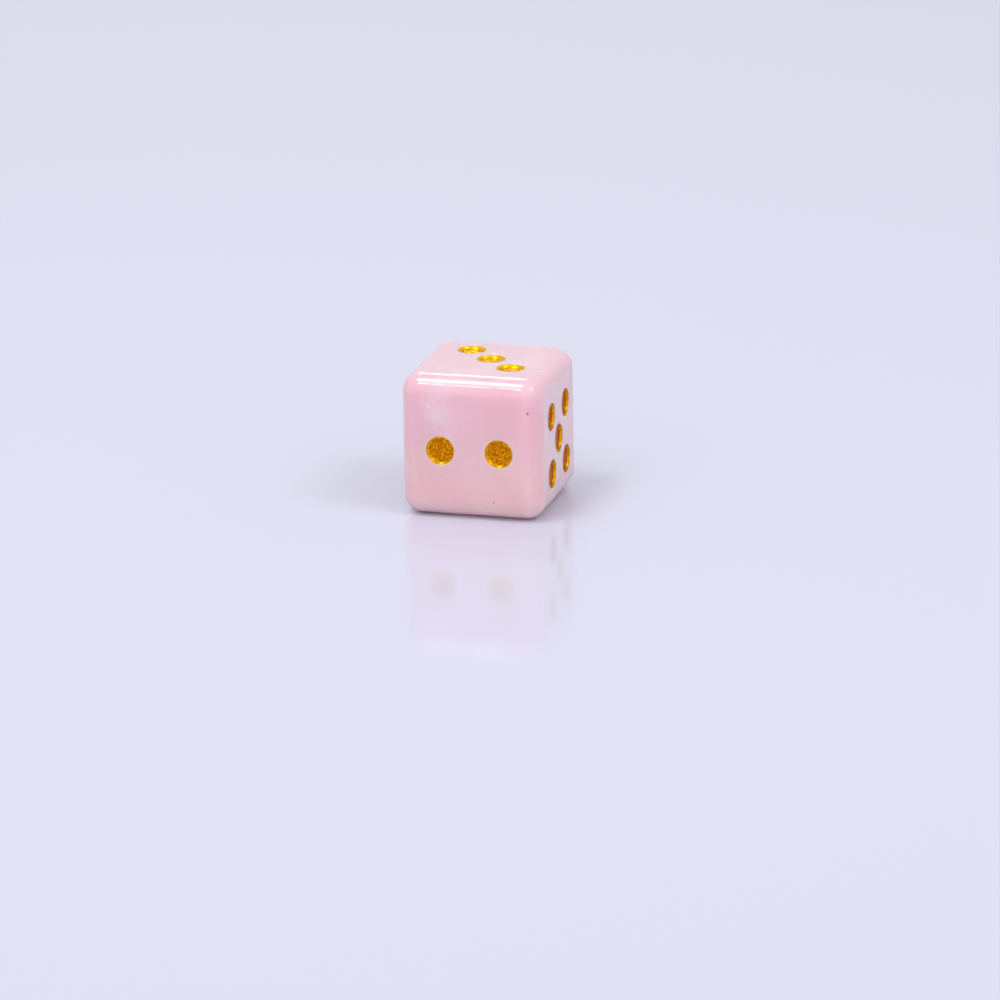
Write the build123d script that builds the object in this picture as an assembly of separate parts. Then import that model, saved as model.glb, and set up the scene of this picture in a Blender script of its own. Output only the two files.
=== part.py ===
from build123d import *
import os

# A die cut from rose quartz, with rolled and polished edges and corners. Its 21 pips are
# shallow drilled recesses, and each one is lined with gold paint that has dried as a thin
# dished cup.
#
# Lengths are in millimetres. The die rests on its four face, centred on the origin, with
# +Z up. The two face looks along -Y, the five face along +X and the three face along +Z.
# Behind them, the one face looks along +Y, the six face along -X and the four face along -Z.

# Stone
side = 15.0
edge_radius = 2.0

# Drilled recess, measured down from the face
pip_radius = 1.5
recess_depth = 0.5
recess_corner_radius = 0.2

# Gold paint in the recess, measured down from the face
paint_rim_depth = 0.05
paint_floor_depth = 0.35
paint_wall = 0.07
paint_corner_radius = 0.25

# How far a pip stands from the middle of its pattern, across and up the face
two_across = 3.11
three_diagonal = 2.86
four_spacing = 2.95
five_across = 2.78
five_up = 3.05
six_across = 2.8
six_up = 3.1

# How far each hand-set pattern has drifted from the middle of its face, across and up
two_drift = (-0.06, -0.34)
three_drift = (0.22, 0.41)
five_drift = (-0.03, -0.47)
no_drift = (0, 0)

half_side = side / 2
mouth_overrun = 0.5


def rounded_plug(radius, bottom, top, corner_radius):
    """Upright round plug between two heights, with its lower edge rounded."""
    plug = Pos(0, 0, bottom) * extrude(Circle(radius), top - bottom)
    return fillet(plug.edges().sort_by(Axis.Z)[0], corner_radius)


def recess():
    """Shape of the drill, run past the mouth of the hole so that it cuts cleanly."""
    return rounded_plug(pip_radius, -recess_depth, mouth_overrun, recess_corner_radius)


def paint_cup():
    """Lining of gold paint, against the stone outside and dished inside."""
    filling = rounded_plug(pip_radius, -recess_depth, -paint_rim_depth, recess_corner_radius)
    dish_radius = pip_radius - paint_wall
    dish = rounded_plug(dish_radius, -paint_floor_depth, mouth_overrun, paint_corner_radius)
    return filling - dish


def face_plane(outward, rightward):
    """Plane on one face of the die: Z points out of the stone, X to the viewer's right."""
    middle = Vector(0, 0, half_side) + Vector(*outward) * half_side
    return Plane(origin=middle, x_dir=rightward, z_dir=outward)


front = face_plane(outward=(0, -1, 0), rightward=(1, 0, 0))
right = face_plane(outward=(1, 0, 0), rightward=(0, 1, 0))
back = face_plane(outward=(0, 1, 0), rightward=(-1, 0, 0))
left = face_plane(outward=(-1, 0, 0), rightward=(0, -1, 0))
top = face_plane(outward=(0, 0, 1), rightward=(1, 0, 0))
bottom = face_plane(outward=(0, 0, -1), rightward=(1, 0, 0))

# Pattern of each face: pip name, then its place across and up from the pattern's middle
one_pattern = {"centre": (0, 0)}
two_pattern = {"left": (-two_across, 0), "right": (two_across, 0)}
three_pattern = {
    "back": (-three_diagonal, three_diagonal),
    "centre": (0, 0),
    "front": (three_diagonal, -three_diagonal),
}
four_pattern = {
    "front_left": (-four_spacing, four_spacing),
    "front_right": (four_spacing, four_spacing),
    "back_left": (-four_spacing, -four_spacing),
    "back_right": (four_spacing, -four_spacing),
}
five_pattern = {
    "upper_left": (-five_across, five_up),
    "upper_right": (five_across, five_up),
    "centre": (0, 0),
    "lower_left": (-five_across, -five_up),
    "lower_right": (five_across, -five_up),
}
six_pattern = {
    "upper_left": (-six_across, six_up),
    "middle_left": (-six_across, 0),
    "lower_left": (-six_across, -six_up),
    "upper_right": (six_across, six_up),
    "middle_right": (six_across, 0),
    "lower_right": (six_across, -six_up),
}

faces = {
    "one": (back, one_pattern, no_drift),
    "two": (front, two_pattern, two_drift),
    "three": (top, three_pattern, three_drift),
    "four": (bottom, four_pattern, no_drift),
    "five": (right, five_pattern, five_drift),
    "six": (left, six_pattern, no_drift),
}


def pip_places():
    """Name and place of every pip, with the place's Z pointing out of its face."""
    places = {}
    for count, (plane, pattern, drift) in faces.items():
        for name, (across, up) in pattern.items():
            spot = Pos(across + drift[0], up + drift[1])
            places[f"pip_{count}_{name}"] = plane * spot
    return places


def stone_body(places):
    """Cube with its edges and corners rounded and all the pip recesses drilled."""
    blank = Pos(0, 0, half_side) * Box(side, side, side)
    rolled = fillet(blank.edges(), edge_radius)
    return rolled - [place * recess() for place in places.values()]


places = pip_places()
parts = {"stone_body": stone_body(places)}
for name, place in places.items():
    parts[name] = place * paint_cup()

os.makedirs("parts", exist_ok=True)
for name, part in parts.items():
    export_step(part, f"parts/{name}.step")
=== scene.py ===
import math

import bmesh
import bpy
from mathutils import Matrix, Quaternion, Vector, noise


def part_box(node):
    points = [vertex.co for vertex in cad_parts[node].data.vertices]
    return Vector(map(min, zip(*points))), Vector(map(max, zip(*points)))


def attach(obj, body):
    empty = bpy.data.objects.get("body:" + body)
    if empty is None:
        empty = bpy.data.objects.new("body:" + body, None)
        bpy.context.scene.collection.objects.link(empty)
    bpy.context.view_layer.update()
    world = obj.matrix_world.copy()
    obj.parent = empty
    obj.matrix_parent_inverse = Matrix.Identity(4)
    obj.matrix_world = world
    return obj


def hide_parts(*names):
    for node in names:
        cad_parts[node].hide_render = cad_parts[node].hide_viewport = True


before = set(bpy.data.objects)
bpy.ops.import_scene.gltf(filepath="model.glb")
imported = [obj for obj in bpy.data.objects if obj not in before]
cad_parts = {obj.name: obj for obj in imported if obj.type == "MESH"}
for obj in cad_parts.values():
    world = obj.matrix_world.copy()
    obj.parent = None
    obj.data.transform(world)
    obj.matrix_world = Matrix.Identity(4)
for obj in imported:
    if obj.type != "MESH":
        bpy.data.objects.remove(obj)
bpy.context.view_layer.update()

# ---- Stone ---------------------------------------------------------------------------
# The die is one cube sawn from pale rose quartz. Its edges and corners are rolled round
# in a tumbler and polished with the faces, which leaves them very slightly wavy. A round
# burr drills each pip, and the mouth of every hole is polished to a small soft edge.
mm = 0.001
stone_low, stone_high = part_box("stone_body")
stone_centre = (stone_low + stone_high) / 2
stone_side = stone_high.x - stone_low.x
edge_radius = 2.0 * mm
edge_steps = 16
flat_side = stone_side - 2 * edge_radius
flat_cells = 55
cell = flat_side / flat_cells
cell_clearance = 0.75 * cell
nearly_flat_side = 0.9 * flat_side
same_way = 0.9
hair = 0.001 * mm
weld_distance = 0.0005 * mm

recess_depth = 0.5 * mm
recess_corner = 0.2 * mm
corner_steps = 4
mouth_radius = 0.07 * mm
mouth_steps = 5
mouth_land = 0.05 * mm
pip_turns = 120

chip_depth = 0.03 * mm
chip_length = 0.12 * mm
chip_rarity = 0.15
chip_reach = 0.99 * mouth_radius
chip_lowest = 1.1 * mouth_radius

wave_height = 0.045 * mm
wave_length = 3.8 * mm
slow_wave_height = 0.05 * mm
slow_wave_length = 12.0 * mm
polish_loss = 0.07 * mm
wave_seed = 4
noise.seed_set(wave_seed)

pip_halo = 1.6 * mm
edge_glow = 1.9 * mm


def pip_place(node):
    """Place of a pip on its face, with Z out of the stone, and the pip's radius."""
    low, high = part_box(node)
    size = high - low
    axis = min(range(3), key=lambda i: size[i])
    middle = (low + high) / 2
    outward = Vector((0, 0, 0))
    outward[axis] = math.copysign(1, middle[axis] - stone_centre[axis])
    middle[axis] = stone_centre[axis] + outward[axis] * stone_side / 2
    turn = outward.to_track_quat("Z", "Y").to_matrix().to_4x4()
    return Matrix.Translation(middle) @ turn, max(size) / 2


def polished(point):
    """Where hand polishing leaves a point of the machined shape."""
    inward = (stone_centre - point) * (2 * polish_loss / stone_side)
    ripple = noise.noise_vector(point / wave_length) * wave_height
    drift = noise.noise_vector(point / slow_wave_length) * slow_wave_height
    return point + inward + ripple + drift


def arc(middle, radius, start, end, steps):
    """Points of an arc in the XZ plane, by angle in degrees from +X."""
    angles = [math.radians(start + (end - start) * i / steps) for i in range(steps + 1)]
    return [middle + Vector((math.cos(a), 0, math.sin(a))) * radius for a in angles]


def spin_section(bm, section, turns):
    """Spins a section once round Z in an empty bmesh and closes the pole."""
    points = [bm.verts.new(p) for p in section]
    lines = [bm.edges.new(pair) for pair in zip(points, points[1:])]
    bmesh.ops.spin(
        bm, geom=points + lines, cent=(0, 0, 0), axis=(0, 0, 1),
        angle=2 * math.pi, steps=turns, use_merge=True)
    bmesh.ops.remove_doubles(bm, verts=bm.verts, dist=weld_distance)


def recess_section(radius):
    """Outline of a drilled recess, from the flat round its mouth to its floor's middle."""
    mouth_middle = Vector((radius + mouth_radius, 0, -mouth_radius))
    foot_middle = Vector((radius - recess_corner, 0, recess_corner - recess_depth))
    mouth = arc(mouth_middle, mouth_radius, 90, 180, mouth_steps)
    foot = arc(foot_middle, recess_corner, 0, -90, corner_steps)
    land = Vector((radius + mouth_radius + mouth_land, 0, 0))
    return [land] + mouth + foot + [Vector((0, 0, -recess_depth))]


def chip_mouth(bm, radius, place):
    """Nicks the polished edge of a recess, as the burr does where it breaks through."""
    for vert in bm.verts:
        reach = vert.co.xy.length
        if radius - hair < reach < radius + chip_reach and vert.co.z > -chip_lowest:
            spot = place @ vert.co
            nick = max(0, noise.noise(spot / chip_length) - chip_rarity)
            vert.co.xy *= 1 + nick * chip_depth / reach
            vert.co.z -= nick * chip_depth


def drilled_panel(way, pips):
    """Flat of one face as a fine grid, with its recesses let in."""
    bm = bmesh.new()
    bmesh.ops.create_grid(
        bm, x_segments=flat_cells, y_segments=flat_cells, size=flat_side / 2)
    turn = way.to_track_quat("Z", "Y").to_matrix().to_4x4()
    face_place = Matrix.Translation(stone_centre + way * stone_side / 2) @ turn
    for place, radius in pips:
        local = face_place.inverted() @ place
        middle = local.translation
        clear = radius + mouth_radius + mouth_land + cell_clearance
        inside = [f for f in bm.faces if (f.calc_center_median() - middle).length < clear]
        bmesh.ops.delete(bm, geom=inside, context="FACES")
        stepped_rim = [e for e in bm.edges if e.is_boundary
                       and (e.verts[0].co - middle).length < clear + 2 * cell
                       and max(abs(c) for c in e.verts[0].co) < flat_side / 2 - cell / 2]
        recess_bm = bmesh.new()
        spin_section(recess_bm, recess_section(radius), pip_turns)
        chip_mouth(recess_bm, radius, place)
        bmesh.ops.transform(recess_bm, matrix=local, verts=recess_bm.verts)
        recess_mesh = bpy.data.meshes.new("recess")
        recess_bm.to_mesh(recess_mesh)
        recess_bm.free()
        grid_edges = set(bm.edges)
        bm.from_mesh(recess_mesh)
        bpy.data.meshes.remove(recess_mesh)
        round_rim = [e for e in bm.edges if e.is_boundary and e not in grid_edges]
        bmesh.ops.triangle_fill(
            bm, use_beauty=True, edges=stepped_rim + round_rim, normal=(0, 0, 1))
    bmesh.ops.transform(bm, matrix=face_place, verts=bm.verts)
    return bm


def link_piece(name, bm, material):
    """Makes a smooth-shaded object of a finished bmesh."""
    for face in bm.faces:
        face.smooth = True
    mesh = bpy.data.meshes.new(name)
    bm.to_mesh(mesh)
    bm.free()
    mesh.materials.append(material)
    piece = bpy.data.objects.new(name, mesh)
    bpy.context.scene.collection.objects.link(piece)
    return piece


pip_nodes = sorted(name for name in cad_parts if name.startswith("pip_"))
places = {node: pip_place(node) for node in pip_nodes}

# The rounded cube loses its six flats, and the drilled panels take their place
stone_bm = bmesh.new()
bmesh.ops.create_cube(stone_bm, size=stone_side)
bmesh.ops.bevel(
    stone_bm, geom=stone_bm.edges[:], offset=edge_radius, offset_type="OFFSET",
    segments=edge_steps, profile=0.5, affect="EDGES", material=-1)
flats = [f for f in stone_bm.faces if f.calc_area() > nearly_flat_side ** 2]
bmesh.ops.delete(stone_bm, geom=flats, context="FACES_ONLY")
long_edges = [e for e in stone_bm.edges if e.calc_length() > nearly_flat_side]
bmesh.ops.subdivide_edges(
    stone_bm, edges=long_edges, cuts=flat_cells - 1, use_grid_fill=True)
bmesh.ops.translate(stone_bm, verts=stone_bm.verts, vec=stone_centre)
face_ways = ((1, 0, 0), (-1, 0, 0), (0, 1, 0), (0, -1, 0), (0, 0, 1), (0, 0, -1))
for way in (Vector(w) for w in face_ways):
    own = [(place, radius) for place, radius in places.values()
           if place.col[2].xyz.dot(way) > same_way]
    panel_bm = drilled_panel(way, own)
    panel_mesh = bpy.data.meshes.new("panel")
    panel_bm.to_mesh(panel_mesh)
    panel_bm.free()
    stone_bm.from_mesh(panel_mesh)
    bpy.data.meshes.remove(panel_mesh)
bmesh.ops.remove_doubles(stone_bm, verts=stone_bm.verts, dist=weld_distance)
bmesh.ops.recalc_face_normals(stone_bm, faces=stone_bm.faces)

# Two attributes tell the material how near a pip and how near an upright edge it is
near_pip = stone_bm.verts.layers.float.new("near_pip")
for place, radius in places.values():
    outward, middle = place.col[2].xyz, place.translation
    for vert in stone_bm.verts:
        offset = vert.co - middle
        if offset.length < radius + pip_halo:
            reach = (offset - outward * offset.dot(outward)).length
            vert[near_pip] = min(1, 1 - (reach - radius) / pip_halo)
near_edge = stone_bm.verts.layers.float.new("near_edge")
edge_middle = flat_side / 2 + edge_radius * math.sqrt(0.5)
for vert in stone_bm.verts:
    offset = vert.co - stone_centre
    gap = edge_middle - min(abs(offset.x), abs(offset.y))
    vert[near_edge] = max(0, 1 - max(0, gap) / edge_glow)
    vert.co = polished(vert.co)


def add_node(tree, kind, inputs, **settings):
    """Adds a node, sets or links its inputs by name or number, and returns it."""
    made = tree.nodes.new(kind)
    for key, value in settings.items():
        setattr(made, key, value)
    for key, value in inputs.items():
        if isinstance(value, bpy.types.NodeSocket):
            tree.links.new(value, made.inputs[key])
        else:
            made.inputs[key].default_value = value
    return made


def noise_field(tree, where, size, detail=3.0, roughness=0.5, distortion=0.0):
    """Noise from 0 to 1 whose lumps are about size across, in metres."""
    return add_node(tree, "ShaderNodeTexNoise", {
        "Vector": where, "Scale": 1 / size, "Detail": detail, "Roughness": roughness,
        "Distortion": distortion}).outputs["Fac"]


def spread(tree, value, low, high, to_low=0.0, to_high=1.0, kind="LINEAR"):
    """Carries value from the range low to high over to the range to_low to to_high."""
    return add_node(tree, "ShaderNodeMapRange", {
        "Value": value, "From Min": low, "From Max": high,
        "To Min": to_low, "To Max": to_high}, interpolation_type=kind).outputs["Result"]


def ramp(tree, value, low, high):
    """0 where value is under low, 1 over high, and eased between."""
    return spread(tree, value, low, high, kind="SMOOTHSTEP")


def maths(tree, operation, *values):
    """One Math node."""
    inputs = dict(enumerate(values))
    return add_node(tree, "ShaderNodeMath", inputs, operation=operation).outputs[0]


def vector_maths(tree, operation, inputs, output=0):
    """One Vector Math node."""
    made = add_node(tree, "ShaderNodeVectorMath", inputs, operation=operation)
    return made.outputs[output]


def strayed(tree, place, size, detail, reach):
    """Coordinates pushed about by noise, by up to half of reach each way."""
    stray = add_node(tree, "ShaderNodeTexNoise", {
        "Vector": place, "Scale": 1 / size, "Detail": detail}).outputs["Color"]
    stray = vector_maths(tree, "SUBTRACT", {0: stray, 1: (0.5, 0.5, 0.5)})
    stray = vector_maths(tree, "SCALE", {0: stray, "Scale": reach})
    return vector_maths(tree, "ADD", {0: place, 1: stray})


def blend_colour(tree, share, first, second):
    """Mix of two colours, second where share is 1."""
    return add_node(
        tree, "ShaderNodeMix", {0: share, 6: first, 7: second}, data_type="RGBA").outputs[2]


def stain(tree, tone, mask, strength, colour):
    """Tone with a colour laid over it where the mask is 1, at the given strength."""
    return blend_colour(tree, maths(tree, "MULTIPLY", mask, strength), tone, colour)


def around(tree, where, middle, reach, core=0.0):
    """1 within core of a point given in mm from the stone's centre, 0 beyond reach."""
    away = vector_maths(
        tree, "DISTANCE", {0: where, 1: stone_centre + Vector(middle) * mm}, "Value")
    return ramp(tree, away, reach, core)


lilac_pink = (0.93, 0.590, 0.650, 1)
warm_pink = (0.95, 0.625, 0.620, 1)
deep_pink = (0.87, 0.490, 0.550, 1)
veil_white = (0.95, 0.780, 0.810, 1)
flaw_white = (0.99, 0.920, 0.930, 1)
painted_halo_pink = (0.96, 0.720, 0.780, 1)
speck_brown = (0.20, 0.080, 0.090, 1)

quartz_ior = 1.54
glow_colours = (1.0, 0.7, 0.8)
glow_depth = 2.0 * mm
glow_depth_at_pips = 0.2 * mm
painted_bounce_by_height = -40.0
halo_sharpness = 10.0
cloud_middle = (-3.7, -7.3, 4.1)
crumbs_middle = (-3.5, -7.4, 4.1)
fleck_middle = (-4.25, -7.45, 4.3)
chip_mark_middle = (6.4, -2.6, 7.3)
iron_speck_middle = (6.1, -7.35, 4.2)

rose_quartz = bpy.data.materials.new("rose_quartz")
rose_quartz.use_nodes = True
tree = rose_quartz.node_tree
shader = tree.nodes["Principled BSDF"]
shader.inputs["IOR"].default_value = quartz_ior
shader.inputs["Specular IOR Level"].default_value = 0.12
shader.inputs["Subsurface Weight"].default_value = 1.0
shader.inputs["Subsurface Radius"].default_value = glow_colours
shader.inputs["Transmission Weight"].default_value = 0.3
shader.inputs["Coat Weight"].default_value = 1.0
shader.inputs["Coat IOR"].default_value = quartz_ior
shader.inputs["Coat Roughness"].default_value = 0.03

place = add_node(tree, "ShaderNodeTexCoord", {}).outputs["Object"]
flowing = strayed(tree, place, size=6 * mm, detail=2.0, reach=5 * mm)
ragged = strayed(tree, place, size=0.25 * mm, detail=3.0, reach=0.5 * mm)
banded = add_node(tree, "ShaderNodeMapping", {
    "Vector": flowing, "Rotation": (0.5, 0.7, 0.3), "Scale": (1.0, 1.0, 0.35)}).outputs[0]

# Tone drifts at random between lilac and warm pink, painted lilac above and warm pink
# lower down as pink bounce light from below, and is deepest where the quartz is clearest
height = add_node(tree, "ShaderNodeSeparateXYZ", {0: place}).outputs["Z"]
warm = maths(tree, "ADD", noise_field(tree, flowing, 9 * mm),
             maths(tree, "MULTIPLY", height, painted_bounce_by_height))
tone = blend_colour(tree, ramp(tree, warm, -0.1, 0.7), lilac_pink, warm_pink)
clear = ramp(tree, noise_field(tree, banded, 6 * mm, 3.0), 0.46, 0.30)
tone = stain(tree, tone, clear, 0.25, deep_pink)

# Painted shade: the upright edges are painted deeper pink, for light that has come a long way
# through the stone
edge = add_node(tree, "ShaderNodeAttribute", {}, attribute_name="near_edge").outputs["Fac"]
tone = stain(tree, tone, ramp(tree, edge, 0.40, 1.00), 0.35, deep_pink)

# Milky veils drift through it, and feathers of healed cracks hang in a few places
veils = ramp(tree, noise_field(tree, banded, 5 * mm, 6.0, 0.55), 0.45, 0.75)
tone = stain(tree, tone, veils, 0.55, veil_white)
feathers = ramp(tree, noise_field(tree, banded, 0.9 * mm, 6.0, 0.7, 0.6), 0.50, 0.80)
few_places = ramp(tree, noise_field(tree, place, 3.4 * mm), 0.50, 0.70)
feathers = maths(tree, "MULTIPLY", feathers, few_places)
tone = stain(tree, tone, feathers, 0.65, flaw_white)

# One white cloud with a bright fleck in it hangs behind the top left of the two
curdled = ramp(tree, noise_field(tree, place, 0.8 * mm, 5.0, 0.65), 0.30, 0.80)
cloud = maths(tree, "MULTIPLY", around(tree, place, cloud_middle, 2.4 * mm), curdled)
tone = stain(tree, tone, cloud, 0.75, flaw_white)
crumbs = ramp(tree, noise_field(tree, place, 0.22 * mm, 3.0, 0.6), 0.56, 0.68)
crumbs = maths(
    tree, "MULTIPLY", crumbs, around(tree, place, crumbs_middle, 1.3 * mm))
fleck = around(tree, ragged, fleck_middle, 0.24 * mm, 0.10 * mm)

# A small chip mark shows by the right edge of the three
chip = ramp(tree, noise_field(tree, place, 0.3 * mm, 2.0), 0.50, 0.60)
chip = maths(
    tree, "MULTIPLY", chip, around(tree, place, chip_mark_middle, 0.7 * mm, 0.3 * mm))
white = maths(tree, "MAXIMUM", maths(tree, "MULTIPLY", crumbs, 0.6), fleck)
white = maths(tree, "MAXIMUM", white, chip)
tone = stain(tree, tone, white, 0.9, flaw_white)

# White glints, and specks of dust and iron, are caught under the polish
cells = add_node(tree, "ShaderNodeTexVoronoi", {"Vector": ragged, "Scale": 1 / (0.8 * mm)})
kind = add_node(tree, "ShaderNodeSeparateColor", {0: cells.outputs["Color"]})
glints = maths(tree, "MULTIPLY", ramp(tree, kind.outputs[1], 0.86, 0.88),
               ramp(tree, cells.outputs["Distance"], 0.16, 0.08))
tone = stain(tree, tone, glints, 0.5, flaw_white)
specks = maths(tree, "MULTIPLY", ramp(tree, kind.outputs[0], 0.95, 0.96),
               ramp(tree, cells.outputs["Distance"], 0.10, 0.06))
iron_speck = around(tree, ragged, iron_speck_middle, 0.13 * mm, 0.09 * mm)
specks = maths(tree, "MAXIMUM", specks, iron_speck)
tone = stain(tree, tone, specks, 0.85, speck_brown)

# Painted light: a thin lighter pink ring round each pip stands for light the paint throws back
# through the stone
halo = add_node(tree, "ShaderNodeAttribute", {}, attribute_name="near_pip").outputs["Fac"]
tone = stain(tree, tone, maths(tree, "POWER", halo, halo_sharpness), 0.7, painted_halo_pink)
tree.links.new(tone, shader.inputs["Base Color"])
scatter = spread(tree, halo, 0.0, 1.0, glow_depth, glow_depth_at_pips)
tree.links.new(scatter, shader.inputs["Subsurface Scale"])

# The stone is hazy inside, under a polish that is nearly a mirror
haze = noise_field(tree, place, 1.5 * mm, 4.0, 0.6)
haze = spread(tree, haze, 0.3, 0.7, 0.32, 0.45)
tree.links.new(haze, shader.inputs["Roughness"])
dimple = noise_field(tree, place, 0.9 * mm, 2.0)
bump = add_node(
    tree, "ShaderNodeBump", {"Height": dimple, "Strength": 0.25, "Distance": 0.01 * mm})
tree.links.new(bump.outputs["Normal"], shader.inputs["Normal"])
tree.links.new(bump.outputs["Normal"], shader.inputs["Coat Normal"])

stone = link_piece("polished_stone", stone_bm, rose_quartz)
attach(stone, "root")
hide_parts("stone_body")

# ---- Gold paint ----------------------------------------------------------------------
# Each recess is brushed with thick gold paint that dries as a thin dished lining. The
# marks of the burr show through it as rough rings, and its edge stops raggedly just
# below the polished mouth of the hole. The three's gold has painted light, the five's painted
# shade.
paint_rim = 0.05 * mm
paint_floor = 0.35 * mm
paint_wall = 0.07 * mm
paint_corner = 0.25 * mm
floor_rings = 34
wall_steps = 8
rim_wander = 0.025 * mm
rim_wander_length = 0.5 * mm

grain_height = 0.050 * mm
grain_length = 0.28 * mm
pebble_level = 0.45
fine_grain = 0.6
swirl_height = 0.006 * mm
swirl_pitch = 0.30 * mm
swirl_wander = 9
swirl_wander_length = mm

# Painted light and shade in the gold: lighter on the walls and rim, painted shade in the floor,
# its rings and the hollows of its grain
rim_fade = 1.2
rim_grain = 0.05
painted_wall_light = 1.05
painted_floor_shade = -0.55
painted_grain_shade = 0.6
painted_swirl_shade = 0.12
# Painted light on the three's gold, painted shade on the five's
painted_face_light = {"three": 0.32, "five": -0.27}

bright_gold = (1.00, 0.65, 0.015, 1)
deep_gold = (0.51, 0.122, 0.0003, 1)

gold_paint = bpy.data.materials.new("gold_paint")
gold_paint.use_nodes = True
tree = gold_paint.node_tree
shader = tree.nodes["Principled BSDF"]
shader.inputs["Metallic"].default_value = 1.0
place = add_node(tree, "ShaderNodeTexCoord", {}).outputs["Object"]
painted_shading = add_node(tree, "ShaderNodeAttribute", {}, attribute_name="painted_shading").outputs["Fac"]
# Painted shading darkens the floor and grain hollows and lightens the walls and rim, under a
# random mottle
shading_and_mottle = maths(tree, "ADD", painted_shading, noise_field(tree, place, 0.20 * mm, 4.0, 0.6))
gold = blend_colour(tree, ramp(tree, shading_and_mottle, 0.75, 1.65), deep_gold, bright_gold)
tree.links.new(gold, shader.inputs["Base Color"])
flake = noise_field(tree, place, 0.06 * mm, 3.0, 0.6)
tree.links.new(spread(tree, flake, 0.3, 0.7, 0.20, 0.38), shader.inputs["Roughness"])
bump = add_node(
    tree, "ShaderNodeBump", {"Height": flake, "Strength": 0.5, "Distance": 0.012 * mm})
tree.links.new(bump.outputs["Normal"], shader.inputs["Normal"])


def paint_section(radius):
    """Outline of the paint: its dished face from the middle out, then its back."""
    dish = radius - paint_wall
    flat = dish - paint_corner
    floor = [Vector((flat * i / floor_rings, 0, -paint_floor)) for i in range(floor_rings)]
    wall_middle = Vector((flat, 0, paint_corner - paint_floor))
    wall = arc(wall_middle, paint_corner, -90, 0, wall_steps)
    lip = [Vector((dish, 0, -paint_rim)), Vector((radius, 0, -paint_rim))]
    back_middle = Vector((radius - recess_corner, 0, recess_corner - recess_depth))
    back = arc(back_middle, recess_corner, 0, -90, corner_steps)
    return floor + wall + lip + back + [Vector((0, 0, -recess_depth))]


def roughen(bm, radius, place, face_shading):
    """Frays the rim, raises rings and grain on the floor, and notes the gold's painted light
    and shade.
    """
    dish = radius - paint_wall
    painted_shading = bm.verts.layers.float.new("painted_shading")
    for vert in bm.verts:
        spot = place @ vert.co
        reach = vert.co.xy.length
        vert[painted_shading] = painted_wall_light + face_shading
        if vert.co.z > -paint_rim - hair:
            vert.co.z += noise.noise(spot / rim_wander_length) * rim_wander
        elif vert.co.z > -paint_floor - hair and reach < dish + hair:
            turn = math.atan2(vert.co.y, vert.co.x)
            wander = swirl_wander * noise.noise(spot / swirl_wander_length)
            swirl = math.sin(2 * math.pi * reach / swirl_pitch + turn + wander)
            pebble = pebble_level - noise.voronoi(spot / grain_length)[0][0]
            grain = pebble + fine_grain * noise.noise(spot / (grain_length / 2))
            fade = min(1, (dish - reach) / paint_corner * rim_fade + rim_grain)
            vert.co.z += fade * (grain * grain_height + swirl * swirl_height)
            vert[painted_shading] += fade * (painted_grain_shade * grain + painted_swirl_shade * swirl + painted_floor_shade)


for node, (place, radius) in places.items():
    bm = bmesh.new()
    spin_section(bm, paint_section(radius), pip_turns)
    roughen(bm, radius, place, painted_face_light.get(node.split("_")[1], 0))
    bmesh.ops.transform(bm, matrix=place, verts=bm.verts)
    bmesh.ops.recalc_face_normals(bm, faces=bm.faces)
    for vert in bm.verts:
        vert.co = polished(vert.co)
    piece = link_piece(node.replace("pip_", "gold_"), bm, gold_paint)
    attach(piece, "root")
    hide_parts(node)

# ---- Table ---------------------------------------------------------------------------
# A plain pale table with a soft shine, far wider than the view.
table_reach = 5
table_bm = bmesh.new()
bmesh.ops.create_grid(table_bm, x_segments=1, y_segments=1, size=table_reach)
bmesh.ops.translate(table_bm, verts=table_bm.verts, vec=(0, 0, stone_low.z))
table_top = bpy.data.materials.new("table_top")
table_top.use_nodes = True
shader = table_top.node_tree.nodes["Principled BSDF"]
shader.inputs["Base Color"].default_value = (0.568, 0.585, 0.685, 1)
shader.inputs["Roughness"].default_value = 0.10
table = link_piece("table", table_bm, table_top)

# ---- Light ---------------------------------------------------------------------------
# A pale surround, a little brighter before the die and dimmer overhead and at the
# horizon. A broad soft light fills from the front, with softboxes over the die, to its
# right, and before and behind it.
pale_lilac = (0.93, 0.905, 0.97)
surround_level = 0.97
surround_front = (0.35, -0.94, 0)
surround_front_gain = 0.36
surround_upper_gain = -0.52
horizon_loss = 0.15
fill_way = Vector((0.35, -0.94, 0.62)).normalized()
softbox_distance = 0.45

world = bpy.data.worlds.new("studio")
bpy.context.scene.world = world
world.use_nodes = True
tree = world.node_tree
way = add_node(tree, "ShaderNodeTexCoord", {}).outputs["Generated"]
forward_part = vector_maths(tree, "DOT_PRODUCT", {0: way, 1: surround_front}, "Value")
front_gain = maths(
    tree, "MULTIPLY", maths(tree, "MAXIMUM", forward_part, 0.0), surround_front_gain)
upward_part = add_node(tree, "ShaderNodeSeparateXYZ", {0: way}).outputs["Z"]
upper_gain = maths(
    tree, "MULTIPLY", maths(tree, "MAXIMUM", upward_part, 0.0), surround_upper_gain)
level = maths(tree, "ADD", maths(tree, "ADD", front_gain, upper_gain), surround_level)
low_loss = maths(tree, "MULTIPLY", ramp(tree, upward_part, 0.10, -0.01), horizon_loss)
level = maths(tree, "SUBTRACT", level, low_loss)
background = tree.nodes["Background"]
background.inputs["Color"].default_value = (*pale_lilac, 1)
tree.links.new(level, background.inputs["Strength"])


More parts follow.
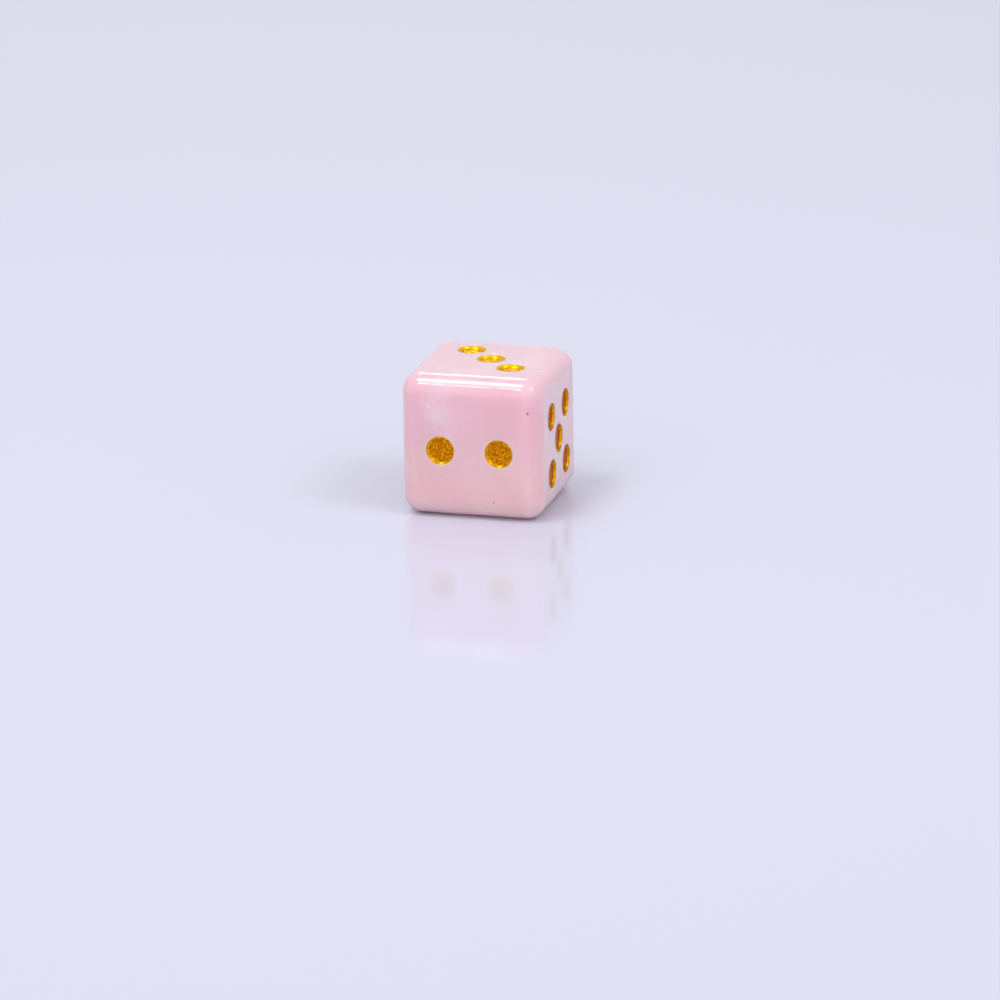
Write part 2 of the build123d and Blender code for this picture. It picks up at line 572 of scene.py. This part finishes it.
def softbox(name, azimuth, elevation, width, height, radiance):
    """Rectangular light facing the die, its width along X; azimuth 0 is before the two."""
    across, up = math.radians(azimuth), math.radians(elevation)
    way = Vector((
        math.sin(across) * math.cos(up), -math.cos(across) * math.cos(up), math.sin(up)))
    data = bpy.data.lights.new(name, "AREA")
    data.shape = "RECTANGLE"
    data.size = width
    data.size_y = height
    data.energy = radiance * math.pi * width * height
    lamp = bpy.data.objects.new(name, data)
    side = (Vector((1, 0, 0)) - way * way.x).normalized()
    turn = Matrix((side, way.cross(side), way)).transposed().to_4x4()
    lamp.matrix_world = Matrix.Translation(stone_centre + way * softbox_distance) @ turn
    lamp.visible_camera = False
    bpy.context.scene.collection.objects.link(lamp)


softbox("overhead_softbox", azimuth=-50, elevation=69, width=0.13, height=0.15, radiance=9.5)
softbox("front_strip", azimuth=-25, elevation=50, width=0.10, height=0.030, radiance=16)
softbox("back_strip", azimuth=-157, elevation=48, width=0.10, height=0.07, radiance=10)
softbox("right_softbox", azimuth=73, elevation=50, width=0.11, height=0.11, radiance=10)

fill = bpy.data.lights.new("front_fill", "SUN")
fill.energy = 0.95
fill.angle = math.radians(110)
fill.color = pale_lilac
fill_lamp = bpy.data.objects.new("front_fill", fill)
fill_lamp.matrix_world = fill_way.to_track_quat("Z", "Y").to_matrix().to_4x4()
fill_lamp.visible_glossy = False
bpy.context.scene.collection.objects.link(fill_lamp)

# ---- Camera --------------------------------------------------------------------------
# A long lens before the two, a little to its right and above it, with the die a little
# above the middle of the view.
camera_azimuth = math.radians(15.77)
camera_elevation = math.radians(16.98)
camera_distance = 40.12 * stone_side
camera_roll = math.radians(0.86)
aim = stone_centre + Vector((0.104, -0.124, -0.4635)) * stone_side

camera_data = bpy.data.cameras.new("camera")
camera_data.lens = 211.4
camera_data.sensor_width = 36
camera_data.clip_start = 0.05
camera_data.clip_end = 20
camera = bpy.data.objects.new("camera", camera_data)
away = Vector((
    math.sin(camera_azimuth) * math.cos(camera_elevation),
    -math.cos(camera_azimuth) * math.cos(camera_elevation),
    math.sin(camera_elevation)))
camera.location = stone_centre + away * camera_distance
forward = (aim - camera.location).normalized()
camera.rotation_mode = "QUATERNION"
camera.rotation_quaternion = Quaternion(forward, camera_roll) @ forward.to_track_quat("-Z", "Y")
bpy.context.scene.collection.objects.link(camera)
bpy.context.scene.camera = camera
bpy.context.scene.view_settings.view_transform = "Standard"
